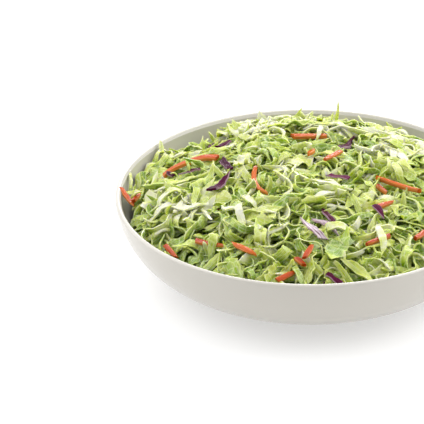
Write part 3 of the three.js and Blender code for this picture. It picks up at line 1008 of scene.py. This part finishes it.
def makeColouredMaterial(name, look):
    # carrot and red cabbage: streaks along the strip and a paler line along its edges, the red cabbage's pale
    # cut and the carrot's painted highlight
    material, tree, shader = newMaterial(name, Subsurface_Scale=1 / metre, **look["shader"])
    colour = ramp(tree, lookOf(tree)[0], look["tones"])
    fibres = useGroup(tree, fibreGroup, Color=colour, Streak_Color=look["streak"], **look["fibres"])
    cut = useGroup(tree, edgeGroup, Color=fibres["Color"], Edge_Color=look["edge"], **look["cut"])
    wire(tree, shader, cut["Color"], useGroup(tree, moistGroup, Height=fibres["Height"], **look["skin"]))
    return material


# the core under the loose strips stands for the salad's hidden lower part; its dark green is painted shade in
# the gaps between the strips
coreShadeLook = {
    "tones": ((0.3, (0.03, 0.07, 0.006)), (0.5, (0.11, 0.19, 0.015)), (0.7, (0.30, 0.40, 0.06))),
    "strandSize": 4,  # millimetres
    "twisting": 1.5,
    "relief": 1.0,
}


def makeCoreShadeMaterial():
    material, tree, shader = newMaterial("salad_depth_shade")
    strands = noiseOf(tree, positionOf(tree), metre / coreShadeLook["strandSize"], 4.0,
                      Distortion=coreShadeLook["twisting"])["Fac"]
    skin = useGroup(tree, moistGroup, Height=strands, Relief=coreShadeLook["relief"])
    wire(tree, shader, ramp(tree, strands, coreShadeLook["tones"]), skin)
    return material


porcelain = {
    "glaze": (0.54, 0.517, 0.468),
    "clouded": (0.515, 0.493, 0.447),  # what the glaze turns to in its thinner patches
    "clouding": 0.15,
    "cloudSize": 60,
    "bare": (0.72, 0.68, 0.61),
    "bareHeight": (0.6, 0.96),  # the foot's unglazed edge ends between these heights
    "bareRoughness": 0.75,
    "roughness": (0.14, 0.26),
    "rippleSize": 22,
    "ripple": 0.25,
    "rippleDepth": 0.1,
    "gloss": 0.5,
}


def makePorcelainMaterial():
    size = porcelain
    material, tree, shader = newMaterial("white_porcelain", Specular_IOR_Level=size["gloss"])
    place = positionOf(tree)
    height = addNode(tree, "ShaderNodeSeparateXYZ", {0: place}).outputs["Z"]
    clouds = noiseOf(tree, place, metre / size["cloudSize"])["Fac"]
    ripple = noiseOf(tree, place, metre / size["rippleSize"], 1.0)["Fac"]
    glazed = between01(tree, height, *(np.array(size["bareHeight"]) / metre))
    clouded = math2(tree, "MULTIPLY", clouds, size["clouding"])
    body = mixColour(tree, clouded, size["glaze"], size["clouded"])
    low, high = size["roughness"]
    sheen = addNode(tree, "ShaderNodeMapRange", {"Value": clouds, "To Min": low, "To Max": high}).outputs[0]
    tree.links.new(mixColour(tree, glazed, size["bare"], body), shader.inputs["Base Color"])
    tree.links.new(mixNumber(tree, glazed, size["bareRoughness"], sheen), shader.inputs["Roughness"])
    normal = bumpOf(tree, size["ripple"], size["rippleDepth"], ripple)
    tree.links.new(normal, shader.inputs["Normal"])
    return material


floor = {
    "size": 6.0,
    "tones": ((0.0, (0.57, 0.57, 0.57)), (1.0, (0.58, 0.58, 0.58))),
    "cloudScale": 3.0,
    "roughness": 0.9,
    "gloss": 0.1,
    "glow": 0.44,
}


def makeFloorMaterial():
    material, tree, shader = newMaterial(
        "pale_floor", Specular_IOR_Level=floor["gloss"], Roughness=floor["roughness"],
        Emission_Color=(1, 1, 1), Emission_Strength=floor["glow"])
    clouds = noiseOf(tree, positionOf(tree), floor["cloudScale"])["Fac"]
    tree.links.new(ramp(tree, clouds, floor["tones"]), shader.inputs["Base Color"])
    return material


camera = {
    "distance": 2000.0,
    "elevation": 27.51,  # degrees
    "roll": 0.49,
    "viewWidth": 262.3,  # what the frame's width covers at the rim
    "right": -60.03,  # the middle of the frame, from the rim's centre
    "up": -12.17,
    "sensor": 36.0,
}


def makeCamera():
    tilt, roll = math.radians(camera["elevation"]), math.radians(camera["roll"])
    back = Vector((0, -math.cos(tilt), math.sin(tilt)))
    across, upright = Vector((1, 0, 0)), Vector((0, math.sin(tilt), math.cos(tilt)))
    right = across * math.cos(roll) - upright * math.sin(roll)
    up = upright * math.cos(roll) + across * math.sin(roll)
    aim = Vector((0, 0, bowl["height"])) + camera["right"] * right + camera["up"] * up
    data = bpy.data.cameras.new("camera")
    data.sensor_width = camera["sensor"]
    data.lens = camera["sensor"] * camera["distance"] / camera["viewWidth"]
    data.clip_end = 20
    piece = toScene("camera", data)
    turn = Matrix((right, up, back)).transposed().to_4x4()
    piece.matrix_world = Matrix.Translation((aim + camera["distance"] * back) / metre) @ turn
    bpy.context.scene.camera = piece


def makeFloor():
    half = floor["size"] / 2
    corners = [(-half, -half, 0), (half, -half, 0), (half, half, 0), (-half, half, 0)]
    mesh = bpy.data.meshes.new("floor")
    mesh.from_pydata(corners, [], [(0, 1, 2, 3)])
    mesh.materials.append(makeFloorMaterial())
    piece = toScene("floor", mesh)


lights = {
    "areas": (  # name, place, size in metres, watts, colour
        ("key", (0.95, 0.2, 0.8), 1.3, 11.5, (1.0, 0.99, 0.97)),
        ("back", (0.1, 1.3, 0.8), 0.3, 4.5, (1.0, 1.0, 1.0)),
        ("fill", (-0.95, 0.2, 0.8), 1.3, 9.0, (1.0, 1.0, 1.0)),
    ),
    "skyFront": 0.26,
    "skyTop": 1.35,
    "skySlope": 0.6,  # how much the sky's brightness follows the heading to the back beside the height
    "skySpan": (-0.5, 1.1),
}


def makeLights():
    for name, place, size, watts, colour in lights["areas"]:
        data = bpy.data.lights.new(name, "AREA")
        data.size = size
        data.energy = watts
        data.color = colour
        lamp = toScene(name, data)
        lamp.location = place
        lamp.rotation_euler = (-Vector(place)).to_track_quat("-Z", "Y").to_euler()
    world = bpy.data.worlds.new("studio")
    world.use_nodes = True
    tree = world.node_tree
    heading = addNode(tree, "ShaderNodeTexCoord").outputs["Generated"]
    parts = addNode(tree, "ShaderNodeSeparateXYZ", {0: heading}).outputs
    lean = math2(tree, "ADD", math2(tree, "MULTIPLY", parts["Y"], lights["skySlope"]), parts["Z"])
    sky = between01(tree, lean, *lights["skySpan"])
    background = tree.nodes["Background"].inputs
    tree.links.new(mixNumber(tree, sky, lights["skyFront"], lights["skyTop"]), background["Strength"])
    background["Color"].default_value = (1, 1, 1, 1)
    bpy.context.scene.world = world
    bpy.context.scene.view_settings.view_transform = "Standard"


makeCamera()
makeFloor()
makeLights()
print("camera, floor and lights made")

makeBowl(makePorcelainMaterial())
makeCore(makeCoreShadeMaterial())
print("bowl and core made")

leafMaterial = makeCabbageMaterial("cabbage_leaf", edgeAmount=0.3, veinAmount=0.4, fibreAmount=0.35,
                                   dryRoughness=0.4)
ribMaterial = makeCabbageMaterial("cabbage_rib", edgeAmount=0.35, veinAmount=0.12, fibreAmount=0.4,
                                  dryRoughness=0.35)
carrotMaterial = makeColouredMaterial("carrot", carrotLook)
redMaterial = makeColouredMaterial("red_cabbage", redLook)
finishes = (
    (leafShreds, leafMaterial), (curledShreds, leafMaterial), (ribShreds, ribMaterial), (wisps, ribMaterial),
    (leafPieces, leafMaterial), (carrotSticks, carrotMaterial), (redStrips, redMaterial),
)
batches = [drawStrips(kind) for kind, material in finishes]
settledStrips(batches)
print("strips settled")
for batch, (kind, material) in zip(batches, finishes):
    stripsPiece(batch, material)
print("strips made")
